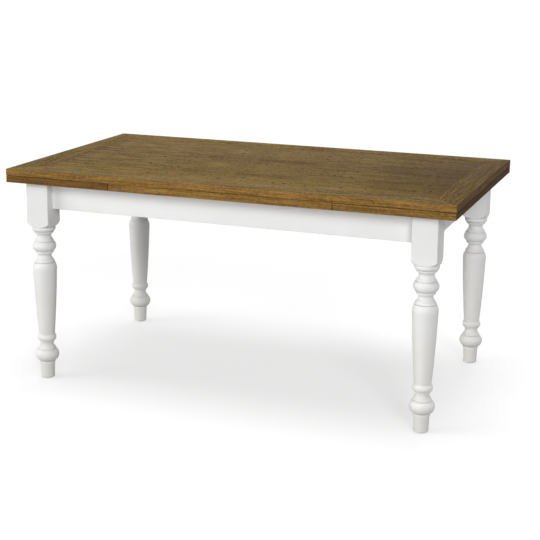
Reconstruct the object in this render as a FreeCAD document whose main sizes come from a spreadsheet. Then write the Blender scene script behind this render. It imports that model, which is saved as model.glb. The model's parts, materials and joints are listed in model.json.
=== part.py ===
import FreeCAD, Part
import math
import os
from types import SimpleNamespace

import Sketcher

# An extending draw-leaf dining table. X runs along its length, Y from front to back, Z up from the floor.
# The top has two layers. The upper board is fixed to a centre board, and a leaf lies at each end under it.
# A leaf is drawn out on two tapered bearers, then the bearers tilt on their pivots until it is level.

LEFT, RIGHT = -1, 1
FRONT, BACK = -1, 1
SIDE_NAMES = {LEFT: "left", RIGHT: "right"}
ROW_NAMES = {FRONT: "front", BACK: "back"}
DIAGONAL = math.sqrt(0.5)
UP = FreeCAD.Vector(0, 0, 1)
LINE, ARC = "line", "arc"
TOP_SCREW_COLUMNS = 4

# Driving dimensions in millimetres, one spreadsheet cell each.
SIZES = {
    # table top
    "table_height": 775.0,
    "top_length": 1600.0,
    "top_width": 900.0,
    "top_thickness": 24.0,
    "rail_width": 88.0,
    "band_width": 88.0,
    "board_thickness": 24.0,
    "centre_length": 798.4,
    # leaves and their running gaps
    "leaf_gap": 0.4,
    "leaf_end_gap": 0.8,
    "leaf_setback": 0.5,
    "leaf_joint_gap": 0.7,
    # base frame
    "end_overhang": 61.0,
    "side_overhang": 29.0,
    "leg_block": 85.0,
    "block_round": 3.0,
    "apron_setback": 34.0,
    "apron_thickness": 22.0,
    "apron_depth": 96.0,
    "glide_radius": 17.0,
    "glide_thickness": 3.0,
    "sole_radius": 21.5,
    "cross_rail_thickness": 22.0,
    "cross_rail_depth": 76.0,
    "cross_rail_inset": 34.0,
    # corner braces and their hardware
    "brace_gap": 11.0,
    "brace_thickness": 22.0,
    "brace_height": 60.0,
    "brace_drop": 8.0,
    "bolt_radius": 4.0,
    "bolt_bite": 40.0,
    "bolt_stickout": 16.0,
    "washer_radius": 11.0,
    "washer_thickness": 2.0,
    "nut_corner_radius": 7.5,
    "nut_height": 6.5,
    # bearers, pivots and shoes
    "bearer_width": 32.0,
    "bearer_depth": 44.0,
    "bearer_end_inset": 5.0,
    "tail_drop": 3.0,
    "tail_step": 3.0,
    "tail_stop": 30.0,
    "left_bearer_inset": 212.0,
    "right_bearer_inset": 162.0,
    "side_clearance": 0.3,
    "notch_clearance": 1.5,
    "notch_room": 2.0,
    "swing_room": 5.0,
    "groove_height": 16.0,
    "groove_depth": 10.0,
    "shoe_length": 60.0,
    "shoe_clearance": 0.3,
    "pin_radius": 4.0,
    "pin_clearance": 0.1,
    "pivot_block_width": 25.0,
    "pivot_block_height": 37.0,
    "pivot_block_reach": 14.0,
    # leaf brackets
    "bracket_thickness": 6.0,
    "bracket_length": 66.0,
    "bracket_setback": 4.0,
    "ear_length": 21.0,
    "ear_radius": 12.0,
    "plate_thickness": 4.0,
    "plate_width": 30.0,
    "pin_bite": 14.0,
    "pin_head_radius": 7.0,
    "pin_head_height": 3.0,
    # wood screws
    "screw_radius": 2.25,
    "screw_head_radius": 4.5,
    "screw_head_height": 2.0,
    "screw_bite": 14.0,
    "bracket_screw_inset": 12.0,
    "top_screw_end_inset": 99.2,
    "top_screw_side_inset": 72.0,
}

# The turned part of a leg from its sole up: each station's radius, its rise above the station before it,
# and how the outline reaches it. An arc's own station is a point that it passes on the way to the next.
LEG_STATIONS = (
    ("sole_round", 23.6, 1.0, ARC),
    ("foot_side", 24.3, 3.0, LINE),
    ("foot_top", 26.4, 50.6, LINE),
    ("foot_collar", 28.2, 0.6, LINE),
    ("low_ball_seat", 27.4, 6.8, LINE),
    ("low_ball", 42.2, 26.0, ARC),
    ("low_ball_crown", 33.2, 17.8, LINE),
    ("low_quirk", 28.0, 0.4, LINE),
    ("low_fillet", 32.4, 1.4, LINE),
    ("low_cove_start", 31.2, 3.4, LINE),
    ("low_cove", 24.8, 9.0, ARC),
    ("low_neck", 22.4, 6.8, LINE),
    ("low_neck_curve", 22.6, 1.8, ARC),
    ("ring_fillet_foot", 23.2, 1.8, LINE),
    ("ring_fillet", 25.6, 0.6, LINE),
    ("ring_seat", 25.4, 5.6, LINE),
    ("ring_foot", 28.2, 0.8, LINE),
    ("ring", 33.7, 12.6, ARC),
    ("shaft_foot", 28.4, 11.5, LINE),
    ("shaft_swell", 36.9, 120.0, ARC),
    ("vase", 42.2, 118.0, LINE),
    ("vase_shoulder", 40.7, 20.5, ARC),
    ("vase_crown", 36.4, 9.6, LINE),
    ("vase_quirk", 31.6, 0.6, LINE),
    ("vase_fillet", 35.6, 1.4, LINE),
    ("mid_cove_start", 34.0, 5.9, LINE),
    ("mid_cove", 26.9, 9.6, ARC),
    ("mid_neck", 24.3, 8.0, LINE),
    ("mid_neck_curve", 25.6, 5.0, ARC),
    ("ball_cove", 29.4, 4.6, LINE),
    ("ball_fillet_foot", 31.8, 0.6, LINE),
    ("ball_fillet", 32.4, 4.8, LINE),
    ("ball_seat", 31.0, 0.9, LINE),
    ("ball", 42.1, 18.9, ARC),
    ("ball_crown", 34.4, 16.4, LINE),
    ("crown_quirk", 29.8, 0.6, LINE),
    ("crown_fillet", 33.8, 1.4, LINE),
    ("top_cove_start", 32.6, 4.6, LINE),
    ("top_cove", 27.1, 7.2, ARC),
    ("top_neck", 25.4, 7.3, LINE),
    ("top_neck_curve", 26.8, 5.0, ARC),
    ("band_cove", 31.0, 5.0, LINE),
    ("band_foot", 34.0, 0.8, LINE),
    ("band_top", 35.2, 5.0, LINE),
    ("band_quirk", 33.6, 0.9, LINE),
    ("collar_foot", 35.8, 0.8, LINE),
    ("collar_round", 41.4, 8.6, ARC),
    ("collar_top", 38.4, 7.3, LINE),
    ("block_seat", 40.8, 1.0, LINE),
)
# The block's lower end is turned to a round shoulder that rises outward from the block seat.
SHOULDER = {
    "shoulder_round_radius": 53.5,
    "shoulder_round_rise": 8.0,
    "shoulder_edge_radius": 61.5,
    "shoulder_edge_rise": 22.0,
    "shoulder_cut_margin": 2.0,
}
for station, radius, rise, _ in LEG_STATIONS:
    SIZES[station + "_radius"] = radius
    SIZES[station + "_rise"] = rise
SIZES.update(SHOULDER)


class Measure:
    """A length written as a spreadsheet formula, with its present value beside it."""

    def __init__(self, formula, value):
        self.formula = formula
        self.value = value

    def joined(self, sign, other, value):
        return Measure(f"({self.formula} {sign} {other.formula})", value)

    def __add__(self, other):
        return self.joined("+", other, self.value + other.value)

    def __sub__(self, other):
        return self.joined("-", other, self.value - other.value)

    def __mul__(self, number):
        return Measure(f"({self.formula} * {number})", self.value * number)

    def __truediv__(self, other):
        if isinstance(other, Measure):
            return self.joined("/", other, self.value / other.value)
        return Measure(f"({self.formula} / {other})", self.value / other)

    def times(self, ratio):
        return self.joined("*", ratio, self.value * ratio.value)

    def __neg__(self):
        return self * -1


doc = FreeCAD.newDocument("draw_leaf_table")
sheet = doc.addObject("Spreadsheet::Sheet", "sizes")
for row, (name, value) in enumerate(SIZES.items(), start=1):
    sheet.set(f"A{row}", name)
    sheet.set(f"B{row}", str(value))
    sheet.setAlias(f"B{row}", name)
doc.recompute()
size = SimpleNamespace(**{name: Measure(f"sizes.{name}", float(sheet.get(name))) for name in SIZES})
ZERO = Measure("0", 0.0)

# Levels
top_under = size.table_height - size.top_thickness
frame_top = top_under - size.board_thickness
leaf_top = top_under - size.leaf_gap
leaf_under = frame_top + size.leaf_gap
apron_bottom = frame_top - size.apron_depth
bearer_bottom = frame_top - size.bearer_depth
pivot_level = frame_top - size.bearer_depth / 2

# Places along X, from the middle outward
top_end = size.top_length / 2
centre_end = size.centre_length / 2
leaf_inner = centre_end + size.leaf_end_gap
leaf_outer = top_end - size.leaf_setback
block_end = top_end - size.end_overhang
block_inner_end = block_end - size.leg_block
leg_place_x = block_end - size.leg_block / 2
apron_end = block_end - size.apron_setback
apron_end_inner = apron_end - size.apron_thickness
rail_outer = leaf_inner - size.cross_rail_inset
rail_inner = rail_outer - size.cross_rail_thickness

# Places along Y, from the middle outward
top_side = size.top_width / 2
top_rail_inner = top_side - size.rail_width
block_side = top_side - size.side_overhang
block_inner_side = block_side - size.leg_block
leg_place_y = block_side - size.leg_block / 2
apron_side = block_side - size.apron_setback
apron_side_inner = apron_side - size.apron_thickness

# The raised leaf: how far it moves outward and up, and the bearers' taper that keeps it level
leaf_reach = top_end + size.leaf_joint_gap - leaf_inner
leaf_rise = size.top_thickness + size.leaf_gap
taper = leaf_rise / leaf_reach
draw_value = math.hypot(leaf_reach.value, leaf_rise.value)
draw_travel = Measure(f"sqrt({leaf_reach.formula} ^ 2 + {leaf_rise.formula} ^ 2)", draw_value)

pin_bore_radius = size.pin_radius + size.pin_clearance
pieces = []


def bind(item, property_name, measure):
    item.setExpression(property_name, measure.formula)


def put(item, x, y, z):
    """Binds an item's place."""
    for axis, measure in (("x", x), ("y", y), ("z", z)):
        bind(item, f".Placement.Base.{axis}", measure)


def piece(item, label):
    """Names a finished sub-part and lists it for writing."""
    item.Label = label
    pieces.append(item)
    return item


def toward(sign, near, far):
    """A span that lies near to far from the middle, on the side that the sign names."""
    return (near, far) if sign > 0 else (-far, -near)


def across(half):
    return (-half, half)


def about_z(degrees):
    return FreeCAD.Rotation(UP, degrees)


def pointing(direction):
    """The turn that takes an upright item to lie along a direction."""
    return FreeCAD.Rotation(UP, FreeCAD.Vector(*direction))


def box(x, y, z):
    """A block from spans along the three axes."""
    item = doc.addObject("Part::Box", "block")
    for property_name, (low, high) in zip(("Length", "Width", "Height"), (x, y, z)):
        bind(item, property_name, high - low)
    put(item, x[0], y[0], z[0])
    return item


def rod(radius, length, direction, x, y, z):
    """A cylinder from its first end along a direction."""
    item = doc.addObject("Part::Cylinder", "rod")
    bind(item, "Radius", radius)
    bind(item, "Height", length)
    item.Placement = FreeCAD.Placement(FreeCAD.Vector(), pointing(direction))
    put(item, x, y, z)
    return item


def group(items):
    """Separate solids kept together as one object."""
    item = doc.addObject("Part::Compound", "group")
    item.Links = items
    return item


def cut(base, tools):
    item = doc.addObject("Part::Cut", "cut")
    item.Base = base
    item.Tool = tools[0] if len(tools) == 1 else group(tools)
    return item


def joined(items):
    item = doc.addObject("Part::MultiFuse", "joined")
    item.Shapes = items
    return item


def shared(first, second):
    item = doc.addObject("Part::Common", "shared")
    item.Base = first
    item.Tool = second
    return item


def sketch_on(body, name, role):
    """A sketch on one of the body's own origin planes."""
    sketch = body.newObject("Sketcher::SketchObject", name)
    plane = next(item for item in body.Origin.OriginFeatures if item.Role == role)
    sketch.AttachmentSupport = (plane, [""])
    sketch.MapMode = "FlatFace"
    return sketch


def fix_point(sketch, edge, end, x, y):
    """Holds one point of a sketch at its measures, on the vertical axis where x is zero."""
    if x is ZERO:
        sketch.addConstraint(Sketcher.Constraint("PointOnObject", edge, end, -2))
    else:
        held = sketch.addConstraint(Sketcher.Constraint("DistanceX", edge, end, x.value))
        bind(sketch, f"Constraints[{held}]", x)
    held = sketch.addConstraint(Sketcher.Constraint("DistanceY", edge, end, y.value))
    bind(sketch, f"Constraints[{held}]", y)


def vector(point):
    return FreeCAD.Vector(point[0].value, point[1].value, 0)


def outline(sketch, points, bends=None):
    """A closed outline through points, straight but for the runs whose first point's number has a bend."""
    bends = bends or {}
    for number, point in enumerate(points):
        following = points[(number + 1) % len(points)]
        if number in bends:
            through = bends[number]
            curve = Part.Arc(vector(point), vector(through), vector(following))
            edge = sketch.addGeometry(curve.toShape().Curve.trim(*curve.toShape().ParameterRange))
            mark = sketch.addGeometry(Part.Point(vector(through)), True)
            fix_point(sketch, mark, 1, *through)
            sketch.addConstraint(Sketcher.Constraint("PointOnObject", mark, 1, edge))
        else:
            edge = sketch.addGeometry(Part.LineSegment(vector(point), vector(following)))
        starts = (sketch.getPoint(edge, 1) - vector(point)).Length
        ends = (sketch.getPoint(edge, 2) - vector(point)).Length
        first = 1 if starts < ends else 2
        fix_point(sketch, edge, first, *point)
        fix_point(sketch, edge, 3 - first, *following)


def board(corners, layer):
    """A board cut to corners in plan, as thick as its layer."""
    body = doc.addObject("PartDesign::Body", "board")
    plan = sketch_on(body, "board_plan", "XY_Plane")
    bind(plan, ".AttachmentOffset.Base.z", layer[0])
    outline(plan, corners)
    thickness = body.newObject("PartDesign::Pad", "board_thickness")
    thickness.Profile = plan
    bind(thickness, "Length", layer[1] - layer[0])
    doc.recompute()
    return body


def turned_leg():
    """A square block on a turned baluster, about its own axis."""
    body = doc.addObject("PartDesign::Body", "leg")
    heights = {}
    height = size.glide_thickness
    for name, _, _, _ in LEG_STATIONS:
        height = height + getattr(size, name + "_rise")
        heights[name] = height
    seat = heights["block_seat"]

    square = sketch_on(body, "block_outline", "XY_Plane")
    half = size.leg_block / 2
    bind(square, ".AttachmentOffset.Base.z", seat)
    outline(square, [(-half, -half), (half, -half), (half, half), (-half, half)])
    block = body.newObject("PartDesign::Pad", "block")
    block.Profile = square
    bind(block, "Length", frame_top - seat)
    doc.recompute()

    uprights = [
        f"Edge{number}"
        for number, edge in enumerate(block.Shape.Edges, start=1)
        if abs(edge.Vertexes[0].Z - edge.Vertexes[-1].Z) > block.Shape.BoundBox.ZLength / 2
    ]
    arrises = body.newObject("PartDesign::Fillet", "arrises")
    arrises.Base = (block, uprights)
    bind(arrises, "Radius", size.block_round)
    doc.recompute()

    shoulder = sketch_on(body, "shoulder_outline", "XZ_Plane")
    low = seat - size.shoulder_cut_margin
    wide = size.shoulder_edge_radius + size.shoulder_cut_margin
    edge_height = seat + size.shoulder_edge_rise
    corners = [
        (size.block_seat_radius, low),
        (wide, low),
        (wide, edge_height),
        (size.shoulder_edge_radius, edge_height),
        (size.block_seat_radius, seat),
    ]
    round_point = (size.shoulder_round_radius, seat + size.shoulder_round_rise)
    outline(shoulder, corners, {3: round_point})
    turned = body.newObject("PartDesign::Groove", "shoulder")
    turned.Profile = shoulder
    turned.ReferenceAxis = (shoulder, ["V_Axis"])
    turned.Angle = 360
    doc.recompute()
    if turned.Shape.Volume >= arrises.Shape.Volume:
        raise RuntimeError("the leg's shoulder cut nothing")

    profile = sketch_on(body, "turned_outline", "XZ_Plane")
    points = [(ZERO, size.glide_thickness), (size.sole_radius, size.glide_thickness)]
    bends = {}
    for name, _, _, kind in LEG_STATIONS:
        point = (getattr(size, name + "_radius"), heights[name])
        if kind == ARC:
            bends[len(points) - 1] = point
        else:
            points.append(point)
    points.append((ZERO, seat))
    outline(profile, points, bends)
    baluster = body.newObject("PartDesign::Revolution", "baluster")
    baluster.Profile = profile
    baluster.ReferenceAxis = (profile, ["V_Axis"])
    baluster.Angle = 360
    doc.recompute()
    return body


def build_legs():
    """Legs, glides, corner braces and the hanger bolts that pull each leg into its corner."""
    corners = {}
    for side, row, turn in ((RIGHT, BACK, 0), (LEFT, BACK, 90), (LEFT, FRONT, 180), (RIGHT, FRONT, 270)):
        corners[f"{ROW_NAMES[row]}_{SIDE_NAMES[side]}"] = (leg_place_x * side, leg_place_y * row, turn)

    # distances from the leg's axis along the diagonal that points into the frame
    block_corner = size.leg_block * DIAGONAL
    bolt_start = block_corner - size.bolt_bite
    brace_near = block_corner + size.brace_gap
    brace_far = brace_near + size.brace_thickness
    bolt_end = brace_far + size.bolt_stickout
    wall = size.leg_block / 2 - size.apron_setback - size.apron_thickness
    inward = (-1, -1, 0)
    brace_bottom = frame_top - size.brace_drop - size.brace_height
    bolt_level = brace_bottom + size.brace_height / 2

    def on_diagonal(distance):
        return -(distance * DIAGONAL)

    def diagonal_rod(radius, start, end):
        place = on_diagonal(start)
        return rod(radius, end - start, inward, place, place, bolt_level)

    bolt = diagonal_rod(size.bolt_radius, bolt_start, bolt_end)
    leg = turned_leg()

    # the brace runs across the corner, and stops at the inner faces of both aprons
    near = -(brace_near / DIAGONAL) - wall
    far = -(brace_far / DIAGONAL) - wall
    brace_layer = (brace_bottom, brace_bottom + size.brace_height)
    brace = board([(wall, near), (near, wall), (far, wall), (wall, far)], brace_layer)

    washer = cut(diagonal_rod(size.washer_radius, brace_far, brace_far + size.washer_thickness), [bolt])
    nut_body = doc.addObject("Part::Prism", "nut")
    nut_body.Polygon = 6
    bind(nut_body, "Circumradius", size.nut_corner_radius)
    bind(nut_body, "Height", size.nut_height)
    nut_body.Placement = FreeCAD.Placement(FreeCAD.Vector(), pointing(inward))
    nut_place = on_diagonal(brace_far + size.washer_thickness)
    put(nut_body, nut_place, nut_place, bolt_level)
    nut = cut(nut_body, [bolt])
    glide = rod(size.glide_radius, size.glide_thickness, (0, 0, 1), ZERO, ZERO, ZERO)

    def stood(item, corner):
        """A copy of a corner's part, turned and moved to one of the four corners."""
        x, y, turn = corners[corner]
        copy = group([item])
        copy.Placement = FreeCAD.Placement(FreeCAD.Vector(), about_z(turn))
        put(copy, x, y, ZERO)
        return copy

    bored_leg = cut(leg, [bolt])
    bored_brace = cut(brace, [bolt])
    for corner in corners:
        piece(stood(bored_leg, corner), f"leg_{corner}")
        piece(stood(bored_brace, corner), f"corner_brace_{corner}")
    for label, item in (
        ("foot_glides", glide),
        ("hanger_bolts", bolt),
        ("hanger_washers", washer),
        ("hanger_nuts", nut),
    ):
        piece(group([stood(item, corner) for corner in corners]), label)


def bearer_middle(side):
    return top_rail_inner - (size.left_bearer_inset if side == LEFT else size.right_bearer_inset)


def bearer_inner(side):
    return bearer_middle(side) - size.bearer_width / 2


def bearer_outer(side):
    return bearer_middle(side) + size.bearer_width / 2


def ear_outer(side):
    """The far face of the bracket's ear, which stands beside the bearer."""
    return bearer_outer(side) + size.side_clearance + size.bracket_thickness


def build_frame():
    """Aprons and cross rails, notched where the bearers pass."""
    upright = (apron_bottom, frame_top)
    for row in (FRONT, BACK):
        apron = box(across(block_inner_end), toward(row, apron_side_inner, apron_side), upright)
        piece(apron, f"apron_{ROW_NAMES[row]}")
    for side in (LEFT, RIGHT):
        apron = box(toward(side, apron_end_inner, apron_end), across(block_inner_side), upright)
        notch_near = bearer_inner(side) - size.notch_clearance
        notch_far = ear_outer(side) + size.pin_head_height + size.notch_clearance
        notch_height = (bearer_bottom - size.notch_room, frame_top)
        notches = [
            box(toward(side, apron_end_inner, apron_end), toward(row, notch_near, notch_far), notch_height)
            for row in (FRONT, BACK)
        ]
        piece(cut(apron, notches), f"apron_{SIDE_NAMES[side]}")

        rail_height = (frame_top - size.cross_rail_depth, frame_top)
        rail = box(toward(side, rail_inner, rail_outer), across(apron_side_inner), rail_height)
        passage_far = bearer_outer(side) + size.notch_clearance
        passage_height = (bearer_bottom - size.swing_room, frame_top)
        passages = [
            box(toward(side, rail_inner, rail_outer), toward(row, notch_near, passage_far), passage_height)
            for row in (FRONT, BACK)
        ]
        piece(cut(rail, passages), f"cross_rail_{SIDE_NAMES[side]}")


def screw(x, y, z, length):
    """A wood screw that points up, with its head at z."""
    head = rod(size.screw_head_radius, size.screw_head_height, (0, 0, 1), x, y, z)
    shank = rod(size.screw_radius, length, (0, 0, 1), x, y, z)
    return joined([head, shank])


def end_band(joint, end, layer):
    """A board across the end of a panel, mitred to its long rails."""
    outer_edge = [(end, -top_side), (end, top_side)]
    inner_edge = [(joint, top_rail_inner), (joint, -top_rail_inner)]
    return board(outer_edge + inner_edge, layer)


def build_top():
    """The centre board, and the upper board with its field in a mitred frame of rails and end bands."""
    upper = (top_under, size.table_height)
    field_end = top_end - size.band_width
    screw_length = size.board_thickness + size.screw_bite
    screw_end = centre_end - size.top_screw_end_inset
    screw_side = top_rail_inner - size.top_screw_side_inset
    columns = [2 * number / (TOP_SCREW_COLUMNS - 1) - 1 for number in range(TOP_SCREW_COLUMNS)]
    screws = [
        screw(screw_end * column, screw_side * row, frame_top, screw_length)
        for column in columns
        for row in (FRONT, BACK)
    ]
    fixings = group(screws)
    piece(fixings, "top_screws")
    centre = box(across(centre_end), across(top_side), (frame_top, top_under))
    piece(cut(centre, [fixings]), "centre_board")
    field = box(across(field_end), across(top_rail_inner), upper)
    piece(cut(field, [fixings]), "top_field")
    for row in (FRONT, BACK):
        edge = top_side * row
        joint = top_rail_inner * row
        rail = board([(-top_end, edge), (top_end, edge), (field_end, joint), (-field_end, joint)], upper)
        piece(rail, f"top_rail_{ROW_NAMES[row]}")
    for side in (LEFT, RIGHT):
        piece(end_band(field_end * side, top_end * side, upper), f"top_band_{SIDE_NAMES[side]}")


def build_pivots(side):
    """Blocks under the centre board's end that carry the pivot pins, and the shoes that turn on them."""
    pins = []
    for row in (FRONT, BACK):
        name = f"{SIDE_NAMES[side]}_{ROW_NAMES[row]}"
        block_outer = bearer_inner(side) - size.side_clearance
        block_inner = block_outer - size.pivot_block_width
        shoe_inner = bearer_inner(side)
        shoe_outer = shoe_inner + size.groove_depth - size.shoe_clearance
        block = box(
            toward(side, rail_outer, leaf_inner + size.pivot_block_reach),
            toward(row, block_inner, block_outer),
            (frame_top - size.pivot_block_height, frame_top),
        )
        pin = rod(size.pin_radius, shoe_outer - block_inner, (0, row, 0),
                  leaf_inner * side, block_inner * row, pivot_level)
        pins.append(pin)
        piece(cut(block, [pin]), f"pivot_block_{name}")

        half_height = size.groove_height / 2 - size.shoe_clearance
        shoe = box(
            toward(side, leaf_inner - size.shoe_length / 2, leaf_inner + size.shoe_length / 2),
            toward(row, shoe_inner, shoe_outer),
            (pivot_level - half_height, pivot_level + half_height),
        )
        bore = rod(pin_bore_radius, size.groove_depth, (0, row, 0),
                   leaf_inner * side, shoe_inner * row, pivot_level)
        piece(cut(shoe, [bore]), f"shoe_{name}")
    return pins


def build_bearers(side):
    """Tapered bearers, each with a groove for its shoe and a bore for the leaf's pin."""
    tail = draw_travel + size.shoe_length / 2 + size.tail_stop
    arm = apron_end - size.bearer_end_inset - leaf_inner
    length = tail + arm
    tail_top = frame_top - size.tail_drop
    step = tail + size.tail_step
    side_view = [
        (ZERO, bearer_bottom),
        (length, bearer_bottom),
        (length, frame_top - arm.times(taper)),
        (step, frame_top - size.tail_step.times(taper)),
        (step, tail_top),
        (ZERO, tail_top),
    ]
    for row in (FRONT, BACK):
        body = doc.addObject("PartDesign::Body", "bearer")
        sketch = sketch_on(body, "side_view", "XZ_Plane")
        outline(sketch, side_view)
        bar = body.newObject("PartDesign::Pad", "bar")
        bar.Profile = sketch
        bind(bar, "Length", size.bearer_width)
        bar.Reversed = True
        doc.recompute()

        # the body lies along X from its tail, and is turned half round for the left end
        groove_high = side * row < 0
        groove_end = tail + size.shoe_length / 2 + size.shoe_clearance
        groove_start = tail - draw_travel - size.shoe_length / 2 - size.shoe_clearance
        groove_span = (size.bearer_width - size.groove_depth, size.bearer_width)
        half_height = size.groove_height / 2
        groove = box(
            (groove_start, groove_end),
            groove_span if groove_high else (ZERO, size.groove_depth),
            (pivot_level - half_height, pivot_level + half_height),
        )
        bore_depth = size.pin_bite + size.side_clearance
        if groove_high:
            bore = rod(pin_bore_radius, bore_depth, (0, 1, 0), tail, ZERO, pivot_level)
        else:
            bore = rod(pin_bore_radius, bore_depth, (0, -1, 0), tail, size.bearer_width, pivot_level)
        bearer = cut(body, [groove, bore])
        turn = 0 if side == RIGHT else 180
        bearer.Placement = FreeCAD.Placement(FreeCAD.Vector(), about_z(turn))
        low_face = bearer_inner(side) if row == BACK else -bearer_outer(side)
        high_face = bearer_outer(side) if row == BACK else -bearer_inner(side)
        put(bearer, (leaf_inner - tail) * side, low_face if side == RIGHT else high_face, ZERO)
        piece(bearer, f"bearer_{SIDE_NAMES[side]}_{ROW_NAMES[row]}")


def build_leaf(side):
    """A leaf with a field, two rails and an end band, and the brackets and pins that hold its bearers."""
    name = SIDE_NAMES[side]
    layer = (leaf_under, leaf_top)
    band_inner = leaf_outer - size.band_width
    plate_start = leaf_inner + size.bracket_setback
    plate_end = plate_start + size.bracket_length
    plate_layer = (leaf_under, leaf_under + size.plate_thickness)
    screw_length = size.plate_thickness + size.screw_bite
    ear_bottom = pivot_level - size.ear_radius
    along = toward(side, plate_start, plate_end)
    brackets, plates, pins, screws = [], [], [], []
    for row in (FRONT, BACK):
        ear_inner = bearer_outer(side) + size.side_clearance
        ear_y = toward(row, ear_inner, ear_outer(side))
        plate_y = toward(row, ear_inner, ear_inner + size.plate_width)
        plate = box(along, plate_y, plate_layer)
        ear_end = plate_start + size.ear_length
        ear = box(toward(side, plate_start, ear_end), ear_y, (ear_bottom, leaf_under))
        eye = rod(size.ear_radius, size.bracket_thickness, (0, row, 0),
                  leaf_inner * side, ear_inner * row, pivot_level)
        lug = box(toward(side, leaf_inner, plate_start), ear_y, (ear_bottom, pivot_level + size.ear_radius))
        pin_start = bearer_outer(side) - size.pin_bite
        pin = rod(size.pin_radius, ear_outer(side) - pin_start, (0, row, 0),
                  leaf_inner * side, pin_start * row, pivot_level)
        head = rod(size.pin_head_radius, size.pin_head_height, (0, row, 0),
                   leaf_inner * side, ear_outer(side) * row, pivot_level)
        pins.append(joined([pin, head]))
        screw_y = (ear_outer(side) + ear_inner + size.plate_width) / 2
        for place in (plate_start + size.bracket_screw_inset, plate_end - size.bracket_screw_inset):
            screws.append(screw(place * side, screw_y * row, leaf_under, screw_length))
        brackets.append(cut(joined([plate, ear, eye, lug]), [pin] + screws[-2:]))
        plates.append(plate)

    field = box(toward(side, leaf_inner, band_inner), across(top_rail_inner), layer)
    piece(cut(field, plates + screws), f"{name}_leaf_field")
    for row, bracket in zip((FRONT, BACK), brackets):
        edge = top_side * row
        joint = top_rail_inner * row
        outer_edge = [(leaf_inner * side, edge), (leaf_outer * side, edge)]
        inner_edge = [(band_inner * side, joint), (leaf_inner * side, joint)]
        rail = board(outer_edge + inner_edge, layer)
        piece(rail, f"{name}_leaf_rail_{ROW_NAMES[row]}")
        piece(bracket, f"{name}_leaf_bracket_{ROW_NAMES[row]}")
    piece(end_band(band_inner * side, leaf_outer * side, layer), f"{name}_leaf_band")
    piece(group(pins), f"{name}_leaf_pins")
    piece(group(screws), f"{name}_leaf_screws")


build_legs()
build_frame()
build_top()
all_pins = []
for end in (LEFT, RIGHT):
    all_pins += build_pivots(end)
    build_bearers(end)
    build_leaf(end)
piece(group(all_pins), "pivot_pins")
doc.recompute()

failed = [item.Label for item in doc.Objects if "Invalid" in item.State or "Error" in item.State]
empty = [item.Label for item in pieces if item.Shape.isNull() or not item.Shape.isValid()]
if failed or empty:
    raise RuntimeError(f"failed: {failed}, empty or not valid: {empty}")
os.makedirs("parts", exist_ok=True)
for item in pieces:
    item.Shape.exportStep(os.path.join("parts", item.Label + ".step"))
raise_degrees = math.degrees(math.atan2(leaf_rise.value, leaf_reach.value))
print(len(pieces), "parts; raise", raise_degrees, "degrees; draw", draw_value, "mm")
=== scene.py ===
"""Dresses the frame of a draw-leaf dining table: a stained top in two layers on a white turned base."""
import json
import math

import bmesh
import bpy
from mathutils import Matrix, Vector

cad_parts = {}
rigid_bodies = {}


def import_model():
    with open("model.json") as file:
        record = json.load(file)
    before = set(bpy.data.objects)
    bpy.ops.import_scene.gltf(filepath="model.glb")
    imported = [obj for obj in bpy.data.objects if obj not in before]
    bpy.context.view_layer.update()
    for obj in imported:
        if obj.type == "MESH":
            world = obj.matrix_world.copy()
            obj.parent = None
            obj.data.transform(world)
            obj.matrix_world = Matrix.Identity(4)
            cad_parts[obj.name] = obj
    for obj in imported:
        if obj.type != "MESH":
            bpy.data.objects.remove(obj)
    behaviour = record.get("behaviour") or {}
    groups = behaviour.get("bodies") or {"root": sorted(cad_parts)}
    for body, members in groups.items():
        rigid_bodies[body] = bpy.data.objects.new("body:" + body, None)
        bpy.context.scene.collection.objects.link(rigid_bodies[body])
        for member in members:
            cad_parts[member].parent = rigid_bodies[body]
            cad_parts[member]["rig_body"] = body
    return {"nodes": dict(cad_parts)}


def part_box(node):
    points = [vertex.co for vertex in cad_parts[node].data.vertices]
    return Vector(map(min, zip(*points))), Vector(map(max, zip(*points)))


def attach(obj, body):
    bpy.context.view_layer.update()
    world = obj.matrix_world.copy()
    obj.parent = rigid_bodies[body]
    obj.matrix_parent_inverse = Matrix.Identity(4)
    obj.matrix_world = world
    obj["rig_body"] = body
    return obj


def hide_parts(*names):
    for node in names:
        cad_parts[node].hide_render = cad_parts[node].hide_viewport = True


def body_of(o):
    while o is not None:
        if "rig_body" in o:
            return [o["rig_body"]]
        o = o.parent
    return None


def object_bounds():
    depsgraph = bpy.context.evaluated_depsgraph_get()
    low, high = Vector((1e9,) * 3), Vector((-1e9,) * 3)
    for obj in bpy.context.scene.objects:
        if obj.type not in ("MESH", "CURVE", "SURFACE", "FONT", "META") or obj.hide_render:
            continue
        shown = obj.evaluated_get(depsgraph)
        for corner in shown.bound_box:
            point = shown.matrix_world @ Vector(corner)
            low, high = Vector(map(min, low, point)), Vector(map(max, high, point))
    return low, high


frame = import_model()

bl_info = {
    "name": "Draw-leaf dining table",
    "version": (1, 0, 0),
    "blender": (4, 5, 0),
    "location": "View3D > Sidebar > Table",
    "description": "Dresses the frame of a draw-leaf dining table in stained oak and white paint",
    "category": "Object",
}

NODES = frame["nodes"]
CAD_LOW, CAD_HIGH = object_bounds()
FIELD_LOW, FIELD_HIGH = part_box("top_field")
MM = 0.001
# Points that lie closer than this are taken as one.
NEAR = 0.02 * MM
SIDES = ("left", "right")
ENDS = ("front", "back")
CORNERS = [end + "_" + side for end in ENDS for side in SIDES]
# The turn of a grain that runs across the table.
ACROSS = math.radians(90)
WHITE = (1, 1, 1, 1)

# The order of a board's finishes.
FACE, EDGE, SEAM = range(3)
# Faces that meet at less than this are shaded as one round surface.
ROUND_ANGLE = math.radians(35)
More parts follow.
